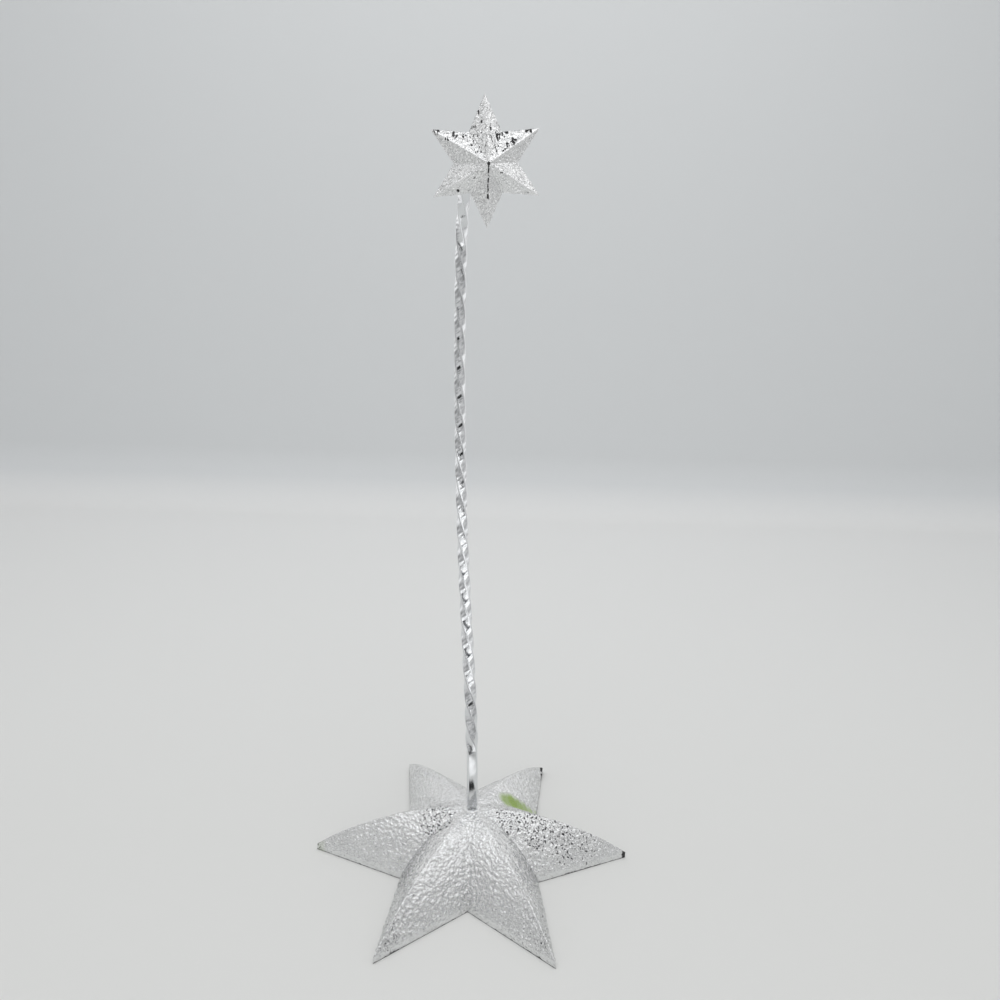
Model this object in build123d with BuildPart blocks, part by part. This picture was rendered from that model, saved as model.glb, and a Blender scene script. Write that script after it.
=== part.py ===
from build123d import *
from math import atan2, ceil, cos, exp, pi, sin
import os

# Ornament stand: a hollow cast star for a foot, a twisted square bar that bows back and
# comes over, and a small cast star on the bar's end. An ornament hangs behind that star.
# Sizes are in millimetres and angles in degrees. The origin is on the floor below the middle
# of the foot, +Z is up, and the small star faces -Y.

# Both castings
star_points = 6

# Foot casting
foot_tip_radius = 75.0
foot_notch_radius = 36.5
foot_rim_height = 3.0
foot_height = 26.5
ridge_crown = 128.0
foot_wall = 3.0
land_radius = 4.2
land_height = 26.8
boss_radius = 6.5
boss_depth = 9.0

# Bar: its section, its bends from the foot upward, and its twist
bar_side = 4.75
bar_corner = 0.8
bow_azimuth = 98.5
foot_run = 3.0
lean_radius = 90.0
lean_angle = 39.7
slope_run = 22.0
bow_radius = 229.0
bow_angle = 47.0
crown_radius = 42.0
crown_angle = 88.7
hanging_run = 46.0
plain_foot = 29.5
plain_end = 26.0
first_turn_length = 36.5
full_turn_length = 59.5
turn_easing = 31.0
station_spacing = 1.6
stretch_stations = 24

# Fixing under the foot: a turned stud, a washer and a hexagon nut
stud_radius = 2.0
stud_clearance = 0.2
stud_show = 1.5
washer_radius = 4.5
washer_thickness = 0.8
nut_flats = 7.0
nut_height = 3.2
thread_clearance = 0.04

# Small star and the pin that holds it
star_tip_radius = 22.7
star_notch_radius = 11.8
star_rim_height = 1.2
star_height = 9.0
star_wall = 1.8
star_lip_height = 0.6
star_roll = 3.0
socket_radius = 4.5
pin_radius = 1.5
pin_length = 5.0
pin_clearance = 0.1


# Distance that a wall takes off a star's tip and notch, measured from the axis
def wall_insets(tip_radius, notch_radius, wall):
    half_sector = pi / star_points
    tip_half = atan2(notch_radius * sin(half_sector), tip_radius - notch_radius * cos(half_sector))
    return wall / sin(tip_half), wall / sin(tip_half + half_sector)


# Plane through a frame's axis, with its x direction at the given azimuth in that frame
def radial_plane(frame, azimuth):
    outward = frame.x_dir.rotate(Axis(frame.origin, frame.z_dir), azimuth)
    return Plane(origin=frame.origin, x_dir=outward, z_dir=outward.cross(frame.z_dir))


# Solid star. The ridge of each arm falls from the axis to the tip, straight or with a crown
# of the given radius, and both of the arm's facets are level along its edges.
def star_solid(tip_radius, notch_radius, rim_height, height, crown=None):
    notch = Vector(notch_radius * cos(pi / star_points), notch_radius * sin(pi / star_points), 0)
    edge = notch - Vector(tip_radius, 0, 0)
    with BuildPart() as half_arm:
        with BuildSketch():
            Polygon((0, 0), (tip_radius, 0), (notch.X, notch.Y), align=None)
        extrude(amount=height)
        with BuildSketch(Plane.XZ):
            with BuildLine():
                if crown:
                    RadiusArc((0, height), (tip_radius, rim_height), crown)
                else:
                    Line((0, height), (tip_radius, rim_height))
                Polyline((tip_radius, rim_height), (tip_radius, 0), (0, 0), (0, height))
            make_face()
        extrude(amount=edge.length, dir=edge.normalized(), mode=Mode.INTERSECT)
    with BuildPart() as star:
        with PolarLocations(0, star_points):
            add(half_arm.part)
        mirror(about=Plane.XZ)
    return star.part


# Foot casting, with a wall that follows its facets
tip_inset, notch_inset = wall_insets(foot_tip_radius, foot_notch_radius, foot_wall)
boss_face = land_height - boss_depth
foot_outside = star_solid(
    foot_tip_radius, foot_notch_radius, foot_rim_height, foot_height, crown=ridge_crown
)
foot_inside = star_solid(
    foot_tip_radius - tip_inset, foot_notch_radius - notch_inset,
    foot_rim_height, foot_height - foot_wall, crown=ridge_crown,
)

with BuildPart() as foot_hollow:
    add(foot_inside)
    with BuildSketch(Plane.XY.offset(boss_face)):
        Circle(boss_radius)
    extrude(amount=boss_depth, mode=Mode.SUBTRACT)

with BuildPart() as base_star:
    add(foot_outside)
    add(foot_hollow.part, mode=Mode.SUBTRACT)
    with BuildSketch(Plane.XY.offset(boss_face)):
        Circle(land_radius)
    extrude(amount=boss_depth)
    with BuildSketch(Plane.XY.offset(land_height)):
        Circle(stud_radius + stud_clearance)
    extrude(amount=-boss_depth, mode=Mode.SUBTRACT)

base_star.part.label = "base_star"

# Centre line of the bar, drawn in the upright plane that it is bent in
bar_upright = radial_plane(Plane.XY, bow_azimuth)
with BuildLine(bar_upright) as bar_line:
    upright = Line((0, land_height), (0, land_height + foot_run))
    lean = JernArc(upright @ 1, upright % 1, lean_radius, -lean_angle)
    slope = Line(lean @ 1, lean @ 1 + slope_run * (lean % 1))
    bow = JernArc(slope @ 1, slope % 1, bow_radius, bow_angle)
    crown = JernArc(bow @ 1, bow % 1, crown_radius, crown_angle)
    hanger = Line(crown @ 1, crown @ 1 + hanging_run * (crown % 1))

bar_path = bar_line.wire()
bar_length = bar_path.length
twisted_length = bar_length - plain_foot - plain_end
side_direction = bar_upright.z_dir


# Left-hand twist of the bar at a distance along it, in degrees. Its turns are tight at the foot,
# and they ease to their full length higher up.
def twist_at(distance):
    u = min(max(distance - plain_foot, 0), twisted_length)
    first_rate = 360 / first_turn_length
    full_rate = 360 / full_turn_length
    eased = turn_easing * (1 - exp(-u / turn_easing))
    return -full_rate * u - (first_rate - full_rate) * eased


# Plane across the bar at a distance along it, turned with the twist
def bar_plane(distance):
    along = bar_path.tangent_at(distance, position_mode=PositionMode.LENGTH)
    centre = bar_path.position_at(distance, position_mode=PositionMode.LENGTH)
    turned = side_direction.rotate(Axis(centre, along), twist_at(distance))
    return Plane(origin=centre, x_dir=turned, z_dir=along)


nut_face = boss_face - washer_thickness
stud_end = nut_face - nut_height - stud_show
station_count = ceil(bar_length / station_spacing)

# The bar is lofted in stretches, and each one starts on the section that the last one ends on
with BuildPart() as twisted_rod:
    for first in range(0, station_count, stretch_stations):
        last = min(first + stretch_stations, station_count)
        for station in range(first, last + 1):
            with BuildSketch(bar_plane(bar_length * station / station_count)):
                section = Rectangle(bar_side, bar_side)
                chamfer(section.vertices(), bar_corner)
        loft()
    with BuildSketch(Plane.XY.offset(land_height)):
        Circle(stud_radius)
    extrude(amount=stud_end - land_height)
    with BuildSketch(bar_plane(bar_length)):
        Circle(pin_radius)
    extrude(amount=pin_length)

twisted_rod.part.label = "twisted_rod"

# Washer and nut that draw the bar down on the foot
with BuildPart() as washer:
    with BuildSketch(Plane.XY.offset(nut_face)):
        Circle(washer_radius)
        Circle(stud_radius + stud_clearance, mode=Mode.SUBTRACT)
    extrude(amount=washer_thickness)

washer.part.label = "washer"

with BuildPart() as hex_nut:
    with BuildSketch(Plane.XY.offset(nut_face)):
        RegularPolygon(nut_flats / 2, 6, major_radius=False)
        Circle(stud_radius + thread_clearance, mode=Mode.SUBTRACT)
    extrude(amount=-nut_height)

hex_nut.part.label = "hex_nut"

# Small star, square to the bar's end, with its hollow back and its socket towards the bar
star_facing = bar_path.tangent_at(1)
star_arm = side_direction.rotate(Axis((0, 0, 0), star_facing), star_roll - 90)
star_plane = Plane(origin=bar_path.position_at(1), x_dir=star_arm, z_dir=star_facing)
star_tip_inset, star_notch_inset = wall_insets(star_tip_radius, star_notch_radius, star_wall)
star_outside = star_plane * star_solid(
    star_tip_radius, star_notch_radius, star_rim_height, star_height
)
star_inside = star_plane * star_solid(
    star_tip_radius - star_tip_inset, star_notch_radius - star_notch_inset,
    star_lip_height, star_height - star_wall,
)

with BuildPart() as star_hollow:
    add(star_inside)
    with BuildSketch(star_plane):
        Circle(socket_radius)
    extrude(amount=star_height, mode=Mode.SUBTRACT)

with BuildPart() as top_star:
    add(star_outside)
    add(star_hollow.part, mode=Mode.SUBTRACT)
    with BuildSketch(star_plane):
        Circle(pin_radius + pin_clearance)
    extrude(amount=pin_length + pin_clearance, mode=Mode.SUBTRACT)

top_star.part.label = "top_star"

os.makedirs("parts", exist_ok=True)
export_step(base_star.part, "parts/base_star.step")
export_step(twisted_rod.part, "parts/twisted_rod.step")
export_step(washer.part, "parts/washer.step")
export_step(hex_nut.part, "parts/hex_nut.step")
export_step(top_star.part, "parts/top_star.step")
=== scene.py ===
import bmesh
import bpy
from math import atan2, ceil, cos, exp, hypot, pi, radians, sin, sqrt
from mathutils import Euler, Matrix, Vector, noise


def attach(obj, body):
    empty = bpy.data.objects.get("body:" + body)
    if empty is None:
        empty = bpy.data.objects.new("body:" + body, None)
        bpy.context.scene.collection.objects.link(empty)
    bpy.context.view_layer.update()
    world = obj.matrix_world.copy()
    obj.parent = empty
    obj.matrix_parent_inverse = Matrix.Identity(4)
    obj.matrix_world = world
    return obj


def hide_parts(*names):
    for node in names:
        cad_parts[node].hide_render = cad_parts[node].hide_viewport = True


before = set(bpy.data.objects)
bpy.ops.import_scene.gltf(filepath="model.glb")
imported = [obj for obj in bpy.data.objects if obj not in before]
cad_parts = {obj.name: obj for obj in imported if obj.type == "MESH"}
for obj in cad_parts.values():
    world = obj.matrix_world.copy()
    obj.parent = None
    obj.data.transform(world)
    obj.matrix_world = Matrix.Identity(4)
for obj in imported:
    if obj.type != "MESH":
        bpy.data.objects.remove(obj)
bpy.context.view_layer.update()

# Ornament stand: a hollow hammered star for a foot, a twisted square bar that bows back and
# comes over, and a small hammered star on its end. Pieces are drawn in mm and scaled when their
# mesh is finished. The camera, the stage and the lights are in metres.
mm = 0.001


# Shared helpers

def hexColour(code):  # sRGB hex to the linear colour that a shader takes
    channels = [int(code[i:i + 2], 16) / 255 for i in (1, 3, 5)]
    return [c / 12.92 if c <= 0.04045 else ((c + 0.055) / 1.055) ** 2.4 for c in channels] + [1]


def newMaterial(name):
    material = bpy.data.materials.new(name)
    material.use_nodes = True
    material.node_tree.nodes.clear()
    return material, material.node_tree


def addNode(tree, kind, values=None, links=None, **settings):
    node = tree.nodes.new(kind)
    for name, value in settings.items():
        setattr(node, name, value)
    for socket, value in (values or {}).items():
        node.inputs[socket].default_value = value
    for socket, source in (links or {}).items():
        tree.links.new(source, node.inputs[socket])
    return node


def finishPiece(bm, name, material):
    bmesh.ops.scale(bm, vec=(mm, mm, mm), verts=bm.verts)
    mesh = bpy.data.meshes.new(name)
    bm.to_mesh(mesh)
    bm.free()
    mesh.materials.append(material)
    mesh.shade_smooth()
    piece = bpy.data.objects.new(name, mesh)
    bpy.context.scene.collection.objects.link(piece)
    print(name, "has", len(mesh.polygons), "faces")
    return piece


creaseAngle = radians(50)


def sharpen(edges):  # creases that keep an edge under smooth shading
    for e in edges:
        e.smooth = e.calc_face_angle(0) < creaseAngle


def vertsOf(geom):
    return [g for g in geom if isinstance(g, bmesh.types.BMVert)]


def openEdgesOf(geom):
    return [g for g in geom if isinstance(g, bmesh.types.BMEdge) and g.is_boundary]


# Camera, where the photograph was taken from
cameraSet = {
    "place": (0.00945, -0.3236, 0.2822),
    "pitch": 17.42,
    "roll": 1.56,
    "lens": 29.05,
    "sensor": 36,
}
pitch, roll = radians(cameraSet["pitch"]), radians(cameraSet["roll"])
ahead = Vector((0, cos(pitch), -sin(pitch)))
level = Vector((1, 0, 0))
above = level.cross(ahead)
cameraRight = cos(roll) * level + sin(roll) * above
cameraUp = -sin(roll) * level + cos(roll) * above
cameraData = bpy.data.cameras.new("camera")
cameraData.lens = cameraSet["lens"]
cameraData.sensor_width = cameraSet["sensor"]
camera = bpy.data.objects.new("camera", cameraData)
turn = Matrix((cameraRight, cameraUp, -ahead)).transposed()
camera.matrix_world = Matrix.Translation(cameraSet["place"]) @ turn.to_4x4()
bpy.context.scene.collection.objects.link(camera)
bpy.context.scene.camera = camera
print("camera placed")


# Stage: one pale sheet that runs back and sweeps up, as in a light tent
stageSet = {
    "halfWidth": 2.0,
    "front": -1.6,
    "bendStart": 0.50,
    "bendRadius": 0.06,
    "bendSteps": 16,
    "wallTop": 2.2,
    "farDepth": 0.45,
    "wallRise": 0.03,
    # One sheet of one paper: the colours of the near floor and of the wall hold painted shade
    "nearPaintedShade": "#E3E3E1",
    "farColour": "#EBEBEA",
    "wallPaintedShade": "#DDDFE0",
}


def sweepMaterial():
    # Matt paper that keeps the soft shadow of the object: pale grey, with painted shade near the front, where
    # the softbox lights it most, and on the upright wall
    material, tree = newMaterial("pale_paper_matt")
    place = addNode(tree, "ShaderNodeNewGeometry")
    axes = addNode(tree, "ShaderNodeSeparateXYZ", links={0: place.outputs["Position"]})
    depth = addNode(tree, "ShaderNodeMapRange", {"From Min": 0, "From Max": stageSet["farDepth"]},
                    {"Value": axes.outputs["Y"]})
    rise = addNode(tree, "ShaderNodeMapRange", {"From Min": 0, "From Max": stageSet["wallRise"]},
                   {"Value": axes.outputs["Z"]})
    near, far = hexColour(stageSet["nearPaintedShade"]), hexColour(stageSet["farColour"])
    floor = addNode(tree, "ShaderNodeMix", {6: near, 7: far}, {0: depth.outputs[0]}, data_type="RGBA")
    mix = addNode(tree, "ShaderNodeMix", {7: hexColour(stageSet["wallPaintedShade"])},
                  {0: rise.outputs[0], 6: floor.outputs[2]}, data_type="RGBA")
    paper = addNode(tree, "ShaderNodeBsdfDiffuse", links={"Color": mix.outputs[2]})
    addNode(tree, "ShaderNodeOutputMaterial", links={"Surface": paper.outputs[0]})
    return material


bm = bmesh.new()
edge = bm.verts.new((0, stageSet["front"], 0))
start = bm.verts.new((0, stageSet["bendStart"], 0))
bm.edges.new((edge, start))
bend = bmesh.ops.spin(bm, geom=[start], cent=(0, stageSet["bendStart"], stageSet["bendRadius"]),
                      axis=(1, 0, 0), angle=radians(90), steps=stageSet["bendSteps"])
top = vertsOf(bend["geom_last"])[0]
wall = bm.verts.new((0, top.co.y, stageSet["wallTop"]))
bm.edges.new((top, wall))
bmesh.ops.translate(bm, vec=(-stageSet["halfWidth"], 0, 0), verts=bm.verts)
sheet = bmesh.ops.extrude_edge_only(bm, edges=bm.edges[:])
bmesh.ops.translate(bm, vec=(2 * stageSet["halfWidth"], 0, 0), verts=vertsOf(sheet["geom"]))
bmesh.ops.recalc_face_normals(bm, faces=bm.faces)
bmesh.ops.scale(bm, vec=(1 / mm, 1 / mm, 1 / mm), verts=bm.verts)
sweep = finishPiece(bm, "paper_sweep", sweepMaterial())

# Light: a wide softbox overhead and the even white of the tent round it
lightSet = {
    "worldColour": "#E6E7E8",
    "worldStrength": 0.82,
    "boxSize": 0.8,
    "boxHeight": 0.85,
    "boxPower": 2.5,
}
world = bpy.data.worlds.new("light_tent")
world.use_nodes = True
bpy.context.scene.world = world
background = world.node_tree.nodes["Background"]
background.inputs["Color"].default_value = hexColour(lightSet["worldColour"])
background.inputs["Strength"].default_value = lightSet["worldStrength"]

box = bpy.data.lights.new("softbox", "AREA")
box.shape = "SQUARE"
box.size = lightSet["boxSize"]
box.energy = lightSet["boxPower"]
boxObject = bpy.data.objects.new("softbox", box)
boxObject.location = (0, 0, lightSet["boxHeight"])
bpy.context.scene.collection.objects.link(boxObject)


# Cards that stand for the tent's panels, frames and gaps, and that only the metal mirrors:
# (middle, half width, half height, the way it is turned, colour, strength)
upright, sideOn, flat = (radians(90), 0, 0), (radians(90), 0, radians(90)), (0, 0, 0)
leftCorner, rightCorner = (radians(90), 0, radians(-45)), (radians(90), 0, radians(45))
cards = {
    "front_panel": ((0, -0.56, 0.75), 0.33, 0.24, upright, "#FFFFFF", 1.25),
    "front_frame": ((0, -0.57, 0.75), 0.37, 0.275, upright, "#1A1A1C", 1.0),
    "front_low": ((0, -0.58, 0.28), 0.42, 0.22, upright, "#FFFFFF", 0.54),
    "front_line": ((0, -0.565, 0.045), 0.42, 0.025, upright, "#1A1A1C", 1.0),
    "camera_opening": ((0.01, -0.42, 0.32), 0.08, 0.08, upright, "#0A0A0B", 1.0),
    "camera_frame": ((0.01, -0.43, 0.32), 0.098, 0.098, upright, "#FFFFFF", 0.85),
    "back_panel": ((0, 0.49, 0.25), 0.45, 0.25, upright, "#FFFFFF", 0.82),
    "left_back": ((-0.46, 0.32, 0.22), 0.17, 0.22, sideOn, "#FFFFFF", 0.84),
    "right_back": ((0.46, 0.32, 0.22), 0.17, 0.22, sideOn, "#FFFFFF", 0.80),
    "left_low": ((-0.46, -0.20, 0.22), 0.35, 0.20, sideOn, "#FFFFFF", 0.54),
    "right_low": ((0.46, -0.20, 0.22), 0.35, 0.20, sideOn, "#FFFFFF", 0.52),
    "left_high": ((-0.455, -0.05, 0.555), 0.50, 0.155, sideOn, "#FFFFFF", 1.20),
    "right_high": ((0.455, -0.05, 0.555), 0.50, 0.155, sideOn, "#FFFFFF", 1.15),
    "left_corner": ((-0.52, -0.50, 0.30), 0.09, 0.20, leftCorner, "#FFFFFF", 1.20),
    "left_corner_gap": ((-0.54, -0.52, 0.33), 0.18, 0.30, leftCorner, "#FFFFFF", 0.34),
    "right_corner": ((0.52, -0.50, 0.30), 0.09, 0.20, rightCorner, "#FFFFFF", 1.20),
    "right_corner_gap": ((0.54, -0.52, 0.33), 0.18, 0.30, rightCorner, "#FFFFFF", 0.34),
    "roof_gap": ((0, 0, 0.87), 0.62, 0.62, flat, "#505154", 1.0),
    "low_panel": ((0, -0.36, 0.004), 0.12, 0.225, flat, "#FFFFFF", 1.2),
    "low_flag": ((0, -0.088, 0.002), 0.03, 0.020, flat, "#0A0A0B", 1.0),
}
cardFolds = {"scale": 8, "from": 0.3, "to": 0.7, "dimmest": 0.55, "brightest": 1.35}  # unevenly lit cloth
for name, (middle, halfWidth, halfHeight, angles, colour, strength) in cards.items():
    card, tree = newMaterial("card_" + name)
    place = addNode(tree, "ShaderNodeTexCoord")
    folds = addNode(tree, "ShaderNodeTexNoise", {"Scale": cardFolds["scale"], "Detail": 0},
                    {"Vector": place.outputs["Object"]})
    shade = addNode(tree, "ShaderNodeMapRange", {
        "From Min": cardFolds["from"], "From Max": cardFolds["to"],
        "To Min": cardFolds["dimmest"] * strength, "To Max": cardFolds["brightest"] * strength,
    }, {"Value": folds.outputs["Fac"]})
    glow = addNode(tree, "ShaderNodeEmission", {"Color": hexColour(colour)}, {"Strength": shade.outputs[0]})
    addNode(tree, "ShaderNodeOutputMaterial", links={"Surface": glow.outputs[0]})
    bm = bmesh.new()
    bmesh.ops.create_grid(bm, x_segments=1, y_segments=1, size=1)
    bmesh.ops.scale(bm, vec=(halfWidth / mm, halfHeight / mm, 1), verts=bm.verts)
    bmesh.ops.rotate(bm, matrix=Euler(angles).to_matrix(), verts=bm.verts)
    bmesh.ops.translate(bm, vec=Vector(middle) / mm, verts=bm.verts)
    piece = finishPiece(bm, name, card)
    piece.visible_camera = piece.visible_diffuse = piece.visible_shadow = False
print("stage and lights placed")


# Stars. Both castings have the same form: the facets of each arm are level along its edges
starPoints = 6
alongCuts = 3  # an arm's long edges are cut again, so that its mesh is as fine both ways
weldGap, levelGap, rimMargin = 1e-3, 1e-4, 0.01
spotEdge = 1.8  # how steeply each spot rises from its outline
footStar = {
    "tipRadius": 75.0,
    "notchRadius": 36.5,
    "rimHeight": 3.0,
    "height": 26.5,
    "crown": 128.0,
    "wall": 3.0,
    "cells": 56,
    "innerCells": 14,
    "rimSteps": 5,
    "landRadius": 4.2,
    "landHeight": 26.8,
    "bossRadius": 6.5,
    "bossDepth": 9.0,
    "boreRadius": 2.2,
    "landEdge": 0.35,
    "landSink": 1.0,
    "bossSink": 1.0,
    "ringSteps": 64,
}
smallStar = {
    "tipRadius": 22.7,
    "notchRadius": 11.8,
    "rimHeight": 1.2,
    "height": 9.0,
    "crown": None,
    "wall": 1.8,
    "lipHeight": 0.6,
    "cells": 30,
    "innerCells": 10,
    "rimSteps": 4,
    "socketRadius": 4.5,
    "socketDrop": 1.5,
    "boreDrop": 1.0,
    "pinGap": 0.1,
    "ringSteps": 48,
    "roll": 3.0,
}


# Where the plate is worn to black, where dark specks are painted as reflections, and where it has a green
# patch: (x, y, reach, strength) in mm
footWearAndShade = {
    "wear_and_painted_shade": [
        # Dark specks painted as reflections of the dark camera opening on the arms' facets; the tips worn to
        # black are real wear
        (-16, -5, 15, 0.43), (18, -4, 12, 0.42), (30, -5, 13, 0.42), (43, -5, 13, 0.40), (56, -4, 10, 0.37),
        (74.6, -0.4, 1.9, 0.9), (38.0, 62.6, 3.6, 0.9), (37.2, 58.0, 1.6, 0.8),
        (-32, -57, 7, 0.35), (34, -57, 7, 0.36), (-26, -42, 8, 0.34), (-74, -0.6, 1.4, 0.5),
    ],
    "green_patch": [
        # A green patch along the back right arm, and a faint one at the left tip
        (17, 13.5, 4.6, 0.85), (20, 15.4, 5.0, 1), (23.5, 17, 4.6, 0.9), (27, 19.5, 3.8, 0.8),
        (30, 22, 3.0, 0.7), (33, 26, 2.2, 0.6), (35, 28.5, 1.6, 0.5), (-73, -1.5, 3.0, 0.16),
    ],
}
smallWearAndShade = {  # in the small star's own plane, where its lowest arm runs along x
    "wear_and_painted_shade": [
        # Dark specks painted as reflections of the dark camera opening, a dark dot at the apex and a dark
        # line along the lowest arm's ridge
        (-8.7, 4.5, 2.0, 0.54), (-10.5, 7.6, 1.6, 0.54), (-7.0, 10.1, 2.8, 0.54), (-5.9, 7.6, 1.4, 0.54),
        (-11.4, 15.8, 2.8, 0.56), (-4.3, 5.7, 1.2, 0.52), (-10.9, -17.7, 2.4, 0.52), (-8.2, -14.1, 1.6, 0.50),
        (-9.5, -11.0, 2.2, 0.50), (-6.6, -5.4, 1.8, 0.50), (-9.1, -7.9, 1.6, 0.50), (-16.8, -2.6, 1.4, 0.50),
        (-13.7, -5.1, 1.2, 0.50), (9.1, -10.6, 1.2, 0.52), (4.9, -4.7, 1.2, 0.50), (3.4, 4.9, 1.1, 0.50),
        (-8, 0, 14, 0.37), (0, 0, 0.9, 0.9),
    ] + [(0.5 * step, 0, 0.65, 0.56) for step in range(2, 25)],
    "green_patch": [],
}


def placeOnArm(x, y):  # how far a point lies along the nearest ridge, and across from it
    angle = atan2(y, x) % (2 * pi / starPoints)
    angle = min(angle, 2 * pi / starPoints - angle)
    return hypot(x, y) * cos(angle), hypot(x, y) * sin(angle)


def reachOnRidge(star, x, y):  # the place on the arm's ridge that is as high as a point of its facet
    along, across = placeOnArm(x, y)
    halfSector = pi / starPoints
    notchAlong, notchAcross = star["notchRadius"] * cos(halfSector), star["notchRadius"] * sin(halfSector)
    return along + across * (star["tipRadius"] - notchAlong) / notchAcross


def ridgeHeight(star, reach):
    low, high, tip, crown = star["rimHeight"], star["height"], star["tipRadius"], star["crown"]
    if not crown:
        return high - (high - low) * reach / tip
    chord = hypot(tip, high - low)
    drop = sqrt(crown ** 2 - chord ** 2 / 4)
    centreX = tip / 2 - drop * (high - low) / chord
    centreZ = (low + high) / 2 - drop * tip / chord
    return centreZ + sqrt(crown ** 2 - (reach - centreX) ** 2)


def starSheet(bm, star, cells):  # the star's roof: half an arm, divided, mirrored and turned round
    tip, notch = star["tipRadius"], star["notchRadius"]
    sheet = bmesh.new()
    corners = [(0, 0, 0), (tip, 0, 0), (notch * cos(pi / starPoints), notch * sin(pi / starPoints), 0)]
    sheet.faces.new([sheet.verts.new(corner) for corner in corners])
    bmesh.ops.subdivide_edges(sheet, edges=sheet.edges[:], cuts=cells - 1, use_grid_fill=True)
    alongArm = [e for e in sheet.edges if abs(e.verts[0].co.y - e.verts[1].co.y) < levelGap]
    bmesh.ops.subdivide_edges(sheet, edges=alongArm, cuts=alongCuts)
    bmesh.ops.triangulate(sheet, faces=sheet.faces[:])
    inner = [e for e in sheet.edges if not e.is_boundary]
    bmesh.ops.beautify_fill(sheet, faces=sheet.faces[:], edges=inner, method="ANGLE")
    bmesh.ops.mirror(sheet, geom=sheet.verts[:] + sheet.edges[:] + sheet.faces[:], axis="Y",
                     merge_dist=weldGap)
    bmesh.ops.spin(sheet, geom=sheet.verts[:] + sheet.edges[:] + sheet.faces[:], axis=(0, 0, 1),
                   angle=2 * pi * (starPoints - 1) / starPoints, steps=starPoints - 1, use_duplicate=True)
    bmesh.ops.remove_doubles(sheet, verts=sheet.verts[:], dist=weldGap)
    for v in sheet.verts:
        v.co.z = ridgeHeight(star, min(reachOnRidge(star, v.co.x, v.co.y), tip))
    keep = bpy.data.meshes.new("sheet")
    sheet.to_mesh(keep)
    sheet.free()
    known = set(bm.verts)
    bm.from_mesh(keep)
    bpy.data.meshes.remove(keep)
    verts = [v for v in bm.verts if v not in known]
    rim = [e for e in bm.edges if e.is_boundary and e.verts[0] not in known]
    return verts, rim


def dropRim(bm, rim, depth, steps):
    skirt = []
    for _ in range(steps):
        out = bmesh.ops.extrude_edge_only(bm, edges=rim)["geom"]
        rim, lowered = openEdgesOf(out), vertsOf(out)
        bmesh.ops.translate(bm, vec=(0, 0, -depth / steps), verts=lowered)
        skirt += lowered
    return skirt, rim


def insetStar(star, lipHeight):  # the inside of the casting, one wall in
    halfSector = pi / starPoints
    acrossNotch = star["notchRadius"] * sin(halfSector)
    tipHalf = atan2(acrossNotch, star["tipRadius"] - star["notchRadius"] * cos(halfSector))
    inside = dict(star)
    inside["tipRadius"] -= star["wall"] / sin(tipHalf)
    inside["notchRadius"] -= star["wall"] / sin(tipHalf + halfSector)
    inside["height"] -= star["wall"]
    inside["rimHeight"] = lipHeight
    return inside


def starShell(star, lipHeight):
    bm = bmesh.new()
    roof, rim = starSheet(bm, star, star["cells"])
    skirt, outerLoop = dropRim(bm, rim, star["rimHeight"], star["rimSteps"])
    inside = insetStar(star, lipHeight)
    rim = starSheet(bm, inside, star["innerCells"])[1]
    innerLoop = dropRim(bm, rim, lipHeight, 1)[1]
    for v in [v for e in outerLoop + innerLoop for v in e.verts]:
        v.co.z = 0
    bmesh.ops.triangle_fill(bm, edges=outerLoop + innerLoop, use_beauty=True, normal=(0, 0, -1))
    bmesh.ops.recalc_face_normals(bm, faces=bm.faces)
    sharpen([e for e in bm.edges if min(v.co.z for v in e.verts) < star["rimHeight"] + rimMargin])
    bm.verts.index_update()
    outside = [v.index for v in roof + skirt]
    for name in footWearAndShade:  # a new layer makes the bmesh forget its old vertex handles
        bm.verts.layers.float.new(name)
    bm.verts.ensure_lookup_table()
    return bm, [bm.verts[i] for i in outside]


def turnedRing(bm, profile, steps):  # a closed profile of (radius, height) points, spun round the axis
    known = set(bm.edges)
    verts = [bm.verts.new((radius, 0, height)) for radius, height in profile]
    edges = [bm.edges.new((a, b)) for a, b in zip(verts, verts[1:] + verts[:1])]
    bmesh.ops.spin(bm, geom=verts + edges, axis=(0, 0, 1), angle=2 * pi, steps=steps, use_merge=True)
    sharpen([e for e in bm.edges if e not in known])


# Hammered skin: small domes pressed close together, with creases between them
domeForm = {  # sizes as shares of a dome
    "warpSize": 1.3,
    "warpShare": 0.5,
    "reach": 0.62,
    "middle": 0.6,
    "wrinkleSize": 0.62,
    "swellSize": 3.1,
}
footSkin = {
    "dome": 1.5,
    "depth": 0.46,
    "crease": 0.26,
    "swell": 0.12,
    "fade": 0.8,
    "calmRadius": 4.4,
    "calmFade": 1.5,
    "ridge": 1.2,
    "ridgeShare": 0.25,
    "grainSize": 1.0,
    "grainHeight": 0.50,
}
smallSkin = {
    "dome": 1.1,
    "depth": 0.32,
    "crease": 0.18,
    "swell": 0.10,
    "fade": 0.5,
    "calmRadius": -2,
    "calmFade": 1.5,
    "ridge": 0.6,
    "ridgeShare": 0.25,
    "grainSize": 0.8,
    "grainHeight": 0.34,
}


def hammered(place, skin):
    size = skin["dome"]
    warp = noise.noise_vector(place / (size * domeForm["warpSize"])) * size * domeForm["warpShare"]
    near = noise.voronoi((place + warp) / size)[0][0]
    dome = 1 - min(near / domeForm["reach"], 1) ** 2
    wrinkle = noise.noise(place / (size * domeForm["wrinkleSize"]))
    swell = noise.noise(place / (size * domeForm["swellSize"]))
    return skin["depth"] * (dome - domeForm["middle"]) + skin["crease"] * wrinkle + skin["swell"] * swell


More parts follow.
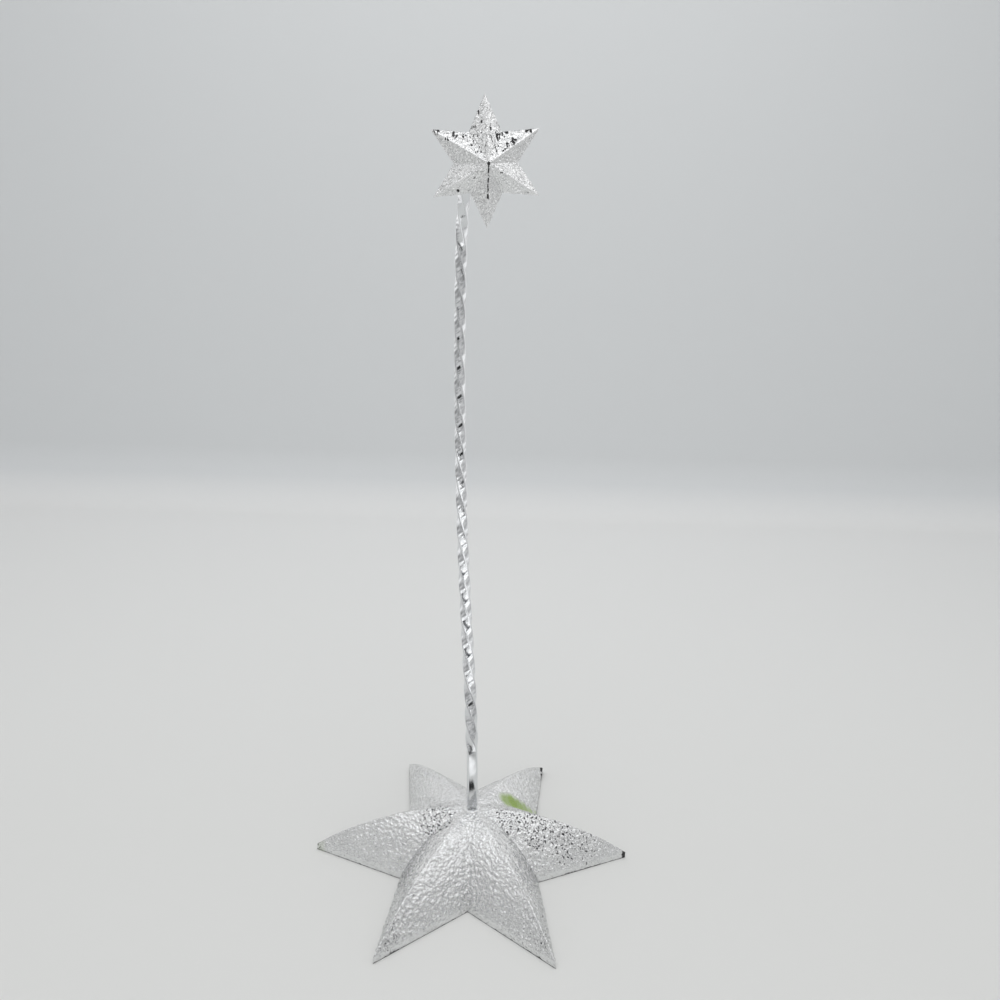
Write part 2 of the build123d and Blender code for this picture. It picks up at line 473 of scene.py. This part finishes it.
def hammerSkin(bm, verts, skin):  # the relief fades out at the bottom edge, the land and the ridges
    bm.normal_update()
    moves = []
    for v in verts:
        beyond = max(hypot(v.co.x, v.co.y) - skin["calmRadius"], 0)
        fade = min(v.co.z / skin["fade"], 1) * min(beyond / skin["calmFade"], 1)
        fade *= min(skin["ridgeShare"] + placeOnArm(v.co.x, v.co.y)[1] / skin["ridge"], 1)
        moves.append(v.normal * hammered(v.co, skin) * fade)
    for v, move in zip(verts, moves):
        v.co += move


# Silver plate over a hammered casting. Bright plate gives white flecks on pale grey, since each dent mirrors
# another part of the tent.
# It is worn to black at a few tips, with dark specks painted as reflections of the dark camera opening and a
# painted contact shadow along the foot's bottom edge
platedSkin = {
    "plate": "#F3F4F4",
    "shade": "#E6E7E8",
    "wearAndShadeColour": "#2A2A2C",
    "greenPatch": "#9BB463",
    "roughness": 0.15,
    "wornRoughness": 0.6,
    "broadSize": 9,
    "darkMarkSize": 0.8,
    "darkMarkScale": (1, 1, 0.45),
    "darkMarkFrom": 0.98,
    "darkMarkFull": 1.04,
}


def platedCasting(name, skin):
    material, tree = newMaterial(name)
    coordinates = addNode(tree, "ShaderNodeTexCoord")
    place = coordinates.outputs["Object"]
    broad = addNode(tree, "ShaderNodeTexNoise", {"Scale": 1 / (platedSkin["broadSize"] * mm), "Detail": 3},
                    {"Vector": place})
    shade, plate = hexColour(platedSkin["shade"]), hexColour(platedSkin["plate"])
    tone = addNode(tree, "ShaderNodeMix", {6: shade, 7: plate}, {0: broad.outputs["Fac"]}, data_type="RGBA")
    # Dark marks: worn plate, specks painted as reflections of the dark camera opening, and the painted
    # contact shadow
    darkMarks = addNode(tree, "ShaderNodeAttribute", attribute_name="wear_and_painted_shade")
    # The dark marks are drawn out upright
    stroke = addNode(tree, "ShaderNodeMapping", {"Scale": platedSkin["darkMarkScale"]}, {"Vector": place})
    darkMarkNoise = addNode(tree, "ShaderNodeTexNoise", {"Scale": 1 / (platedSkin["darkMarkSize"] * mm), "Detail": 1},
                       {"Vector": stroke.outputs[0]})
    darkMarkSum = addNode(tree, "ShaderNodeMath", {}, {0: darkMarkNoise.outputs["Fac"], 1: darkMarks.outputs["Fac"]},
                     operation="ADD")
    darkMarkRange = {"From Min": platedSkin["darkMarkFrom"], "From Max": platedSkin["darkMarkFull"]}
    wearAndShadeMask = addNode(tree, "ShaderNodeMapRange", darkMarkRange, {"Value": darkMarkSum.outputs[0]})
    dark = addNode(tree, "ShaderNodeMix", {7: hexColour(platedSkin["wearAndShadeColour"])},
                   {0: wearAndShadeMask.outputs[0], 6: tone.outputs[2]}, data_type="RGBA")
    # green mixed into the plate where the green patch layer is set
    greenPatch = addNode(tree, "ShaderNodeAttribute", attribute_name="green_patch")
    green = addNode(tree, "ShaderNodeMix", {7: hexColour(platedSkin["greenPatch"])},
                    {0: greenPatch.outputs["Fac"], 6: dark.outputs[2]}, data_type="RGBA")
    cover = addNode(tree, "ShaderNodeMath", {}, {0: wearAndShadeMask.outputs[0], 1: greenPatch.outputs["Fac"]},
                    operation="MAXIMUM")
    metal = addNode(tree, "ShaderNodeMath", {0: 1.0}, {1: cover.outputs[0]}, operation="SUBTRACT")
    roughRange = {"To Min": platedSkin["roughness"], "To Max": platedSkin["wornRoughness"]}
    rough = addNode(tree, "ShaderNodeMapRange", roughRange, {"Value": cover.outputs[0]})
    grain = addNode(tree, "ShaderNodeTexNoise", {"Scale": 1 / (skin["grainSize"] * mm), "Detail": 2},
                    {"Vector": place})
    bump = addNode(tree, "ShaderNodeBump", {"Strength": 1.0, "Distance": skin["grainHeight"] * mm},
                   {"Height": grain.outputs["Fac"]})
    shader = addNode(tree, "ShaderNodeBsdfPrincipled", {},
                     {"Base Color": green.outputs[2], "Metallic": metal.outputs[0],
                      "Roughness": rough.outputs[0], "Normal": bump.outputs[0]})
    addNode(tree, "ShaderNodeOutputMaterial", links={"Surface": shader.outputs[0]})
    return material


def paintWearAndShade(bm, verts, places, contactShadow=0):  # the last argument is the strength of a painted contact shadow, a thin dark line where the shell meets the floor
    for name, spots in places.items():
        layer = bm.verts.layers.float[name]
        for v in verts:
            best = 0
            for x, y, reach, strength in spots:
                near = 1 - hypot(v.co.x - x, v.co.y - y) / reach
                best = max(best, strength * min(max(near * spotEdge, 0), 1))
            # painted contact shadow: the vertices on the floor take a dark line
            if name == "wear_and_painted_shade" and contactShadow and v.co.z < weldGap:
                best = contactShadow
            v[layer] = best


# Foot: the hammered shell with its turned land and boss
bm, outside = starShell(footStar, footStar["rimHeight"])
# the foot gets a painted contact shadow along its bottom edge
paintWearAndShade(bm, outside, footWearAndShade, contactShadow=0.9)
hammerSkin(bm, outside, footSkin)
bossFace = footStar["landHeight"] - footStar["bossDepth"]
turnedRing(bm, [
    (footStar["boreRadius"], bossFace),
    (footStar["bossRadius"], bossFace),
    (footStar["bossRadius"], footStar["height"] - footStar["wall"] + footStar["bossSink"]),
    (footStar["landRadius"], footStar["height"] - footStar["landSink"]),
    (footStar["landRadius"], footStar["landHeight"] - footStar["landEdge"]),
    (footStar["landRadius"] - footStar["landEdge"], footStar["landHeight"]),
    (footStar["boreRadius"], footStar["landHeight"]),
], footStar["ringSteps"])
foot = finishPiece(bm, "hammered_foot_star", platedCasting("silver_plate_hammered_casting", footSkin))
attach(foot, "root")
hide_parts("base_star")


# Bar: runs of (length, 0) and bends of (radius, degrees), from the foot upward
bar = {
    "side": 4.75,
    "cornerRadius": 0.9,
    "cornerSteps": 4,
    "bowAzimuth": 98.5,
    "runs": [(3.0, 0), (90.0, -39.7), (22.0, 0), (229.0, 47.0), (42.0, 88.7), (46.0, 0)],
    "plainFoot": 29.5,
    "plainEnd": 26.0,
    "firstTurn": 36.5,
    "fullTurn": 59.5,
    "easing": 31.0,
    "step": 1.2,
    "studRadius": 2.0,
    "studEnd": 12.3,
    "pinRadius": 1.5,
    "pinLength": 5.0,
    "endOverlap": 0.2,
    "endSteps": 32,
}
barSkin = {
    "plate": "#E6E8EA",
    "rippleSize": 6,
    "rippleHeight": 0.05,
    "rippleStrength": 0.6,
    "smoothest": 0.07,
    "roughest": 0.20,
}
outward = Vector((cos(radians(bar["bowAzimuth"])), sin(radians(bar["bowAzimuth"])), 0))
sideways = outward.cross(Vector((0, 0, 1)))
barLength = sum(size if not bend else size * radians(abs(bend)) for size, bend in bar["runs"])
twistedLength = barLength - bar["plainFoot"] - bar["plainEnd"]


def twistAt(distance):  # left-handed: tight at the foot, and easing to full turns higher up
    u = min(max(distance - bar["plainFoot"], 0), twistedLength)
    firstRate, fullRate = 2 * pi / bar["firstTurn"], 2 * pi / bar["fullTurn"]
    return -fullRate * u - (firstRate - fullRate) * bar["easing"] * (1 - exp(-u / bar["easing"]))


def barFrame(distance):  # the matrix of the bar's section at a distance along it
    across, up, heading, walked = 0.0, footStar["landHeight"], 0.0, 0.0
    for size, bend in bar["runs"]:
        length = size if not bend else size * radians(abs(bend))
        go = min(distance - walked, length)
        if not bend:
            across += go * sin(heading)
            up += go * cos(heading)
        else:
            side = 1 if bend < 0 else -1
            turned = heading + side * go / size
            across += side * size * (cos(heading) - cos(turned))
            up += side * size * (sin(turned) - sin(heading))
            heading = turned
        walked += length
        if walked >= distance:
            break
    centre = across * outward + Vector((0, 0, up))
    along = sin(heading) * outward + Vector((0, 0, cos(heading)))
    sideDirection = Matrix.Rotation(twistAt(distance), 3, along) @ sideways
    turn = Matrix((sideDirection, along.cross(sideDirection), along)).transposed()
    return Matrix.Translation(centre) @ turn.to_4x4()


def barMaterial():
    # Bright plate over drawn steel: mirror-like, softened by faint ripples
    material, tree = newMaterial("silver_plate_polished_bar")
    coordinates = addNode(tree, "ShaderNodeTexCoord")
    place = coordinates.outputs["Object"]
    ripple = addNode(tree, "ShaderNodeTexNoise", {"Scale": 1 / (barSkin["rippleSize"] * mm), "Detail": 2},
                     {"Vector": place})
    bumpSize = {"Strength": barSkin["rippleStrength"], "Distance": barSkin["rippleHeight"] * mm}
    bump = addNode(tree, "ShaderNodeBump", bumpSize, {"Height": ripple.outputs["Fac"]})
    hazeRange = {"To Min": barSkin["smoothest"], "To Max": barSkin["roughest"]}
    haze = addNode(tree, "ShaderNodeMapRange", hazeRange, {"Value": ripple.outputs["Fac"]})
    plate = {"Base Color": hexColour(barSkin["plate"]), "Metallic": 1.0}
    shader = addNode(tree, "ShaderNodeBsdfPrincipled", plate,
                     {"Roughness": haze.outputs[0], "Normal": bump.outputs[0]})
    addNode(tree, "ShaderNodeOutputMaterial", links={"Surface": shader.outputs[0]})
    return material


bm = bmesh.new()
bmesh.ops.create_grid(bm, x_segments=1, y_segments=1, size=bar["side"] / 2)
bmesh.ops.bevel(bm, geom=bm.verts[:], offset=bar["cornerRadius"], offset_type="OFFSET",
                segments=bar["cornerSteps"], profile=0.5, affect="VERTICES", material=-1)
bmesh.ops.reverse_faces(bm, faces=bm.faces)
stations = ceil(barLength / bar["step"])
previous = barFrame(0)
bmesh.ops.transform(bm, matrix=previous, verts=bm.verts)
section = bm.edges[:]
for station in range(1, stations + 1):
    here = barFrame(barLength * station / stations)
    out = bmesh.ops.extrude_edge_only(bm, edges=section)["geom"]
    bmesh.ops.transform(bm, matrix=here @ previous.inverted(), verts=vertsOf(out))
    section = openEdgesOf(out)
    previous = here
bmesh.ops.edgeloop_fill(bm, edges=section)
for radius, low, high, matrix in (
    (bar["studRadius"], bar["studEnd"] - footStar["landHeight"], bar["endOverlap"], barFrame(0)),
    (bar["pinRadius"], -bar["endOverlap"], bar["pinLength"], barFrame(barLength)),
):
    peg = bmesh.ops.create_cone(bm, cap_ends=True, segments=bar["endSteps"], radius1=radius, radius2=radius,
                                depth=high - low)["verts"]
    bmesh.ops.translate(bm, vec=(0, 0, (low + high) / 2), verts=peg)
    bmesh.ops.transform(bm, matrix=matrix, verts=peg)
bmesh.ops.recalc_face_normals(bm, faces=bm.faces)
sharpen(bm.edges)
twistedBar = finishPiece(bm, "twisted_square_bar", barMaterial())
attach(twistedBar, "root")
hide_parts("twisted_rod")

# Small star, square to the bar's end
bm, outside = starShell(smallStar, smallStar["lipHeight"])
paintWearAndShade(bm, outside, smallWearAndShade)
hammerSkin(bm, outside, smallSkin)
pinBore = bar["pinRadius"] + smallStar["pinGap"]
turnedRing(bm, [
    (pinBore, 0),
    (smallStar["socketRadius"], 0),
    (smallStar["socketRadius"], smallStar["height"] - smallStar["wall"] - smallStar["socketDrop"]),
    (pinBore, smallStar["height"] - smallStar["wall"] - smallStar["boreDrop"]),
], smallStar["ringSteps"])
end = barFrame(barLength)
facing = end.to_3x3() @ Vector((0, 0, 1))
armDirection = Matrix.Rotation(radians(smallStar["roll"] - 90), 3, facing) @ sideways
starTurn = Matrix((armDirection, facing.cross(armDirection), facing)).transposed()
bmesh.ops.transform(bm, matrix=Matrix.Translation(end.translation) @ starTurn.to_4x4(), verts=bm.verts)
topStar = finishPiece(bm, "hammered_small_star", platedCasting("silver_plate_small_casting", smallSkin))
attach(topStar, "root")
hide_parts("top_star")


# Washer and nut keep their CAD meshes
zincSkin = {
    "dark": "#A9ABA6",
    "light": "#C6C7C1",
    "mottleSize": 1.5,
    "ringScale": 1 / (7 * mm),
    "ringDistortion": 0.4,
    "ringStrength": 0.5,
    "ringHeight": 0.02,
    "roughness": 0.34,
}


def zincMaterial():
    # Bright zinc plate on turned steel: pale grey with turning rings and a soft shine
    material, tree = newMaterial("zinc_plate_turned_steel")
    coordinates = addNode(tree, "ShaderNodeTexCoord")
    place = coordinates.outputs["Object"]
    mottle = addNode(tree, "ShaderNodeTexNoise", {"Scale": 1 / (zincSkin["mottleSize"] * mm), "Detail": 3},
                     {"Vector": place})
    tone = addNode(tree, "ShaderNodeMix", {6: hexColour(zincSkin["dark"]), 7: hexColour(zincSkin["light"])},
                   {0: mottle.outputs["Fac"]}, data_type="RGBA")
    rings = addNode(tree, "ShaderNodeTexWave",
                    {"Scale": zincSkin["ringScale"], "Distortion": zincSkin["ringDistortion"]},
                    {"Vector": place}, wave_type="RINGS", rings_direction="Z")
    bumpSize = {"Strength": zincSkin["ringStrength"], "Distance": zincSkin["ringHeight"] * mm}
    bump = addNode(tree, "ShaderNodeBump", bumpSize, {"Height": rings.outputs["Fac"]})
    shader = addNode(tree, "ShaderNodeBsdfPrincipled", {"Metallic": 1.0, "Roughness": zincSkin["roughness"]},
                     {"Base Color": tone.outputs[2], "Normal": bump.outputs[0]})
    addNode(tree, "ShaderNodeOutputMaterial", links={"Surface": shader.outputs[0]})
    return material


zinc = zincMaterial()
for name in ("washer", "hex_nut"):
    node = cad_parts[name]
    node.data.materials.clear()
    node.data.materials.append(zinc)
print("materials on the washer and nut")

bpy.context.scene.view_settings.view_transform = "Standard"
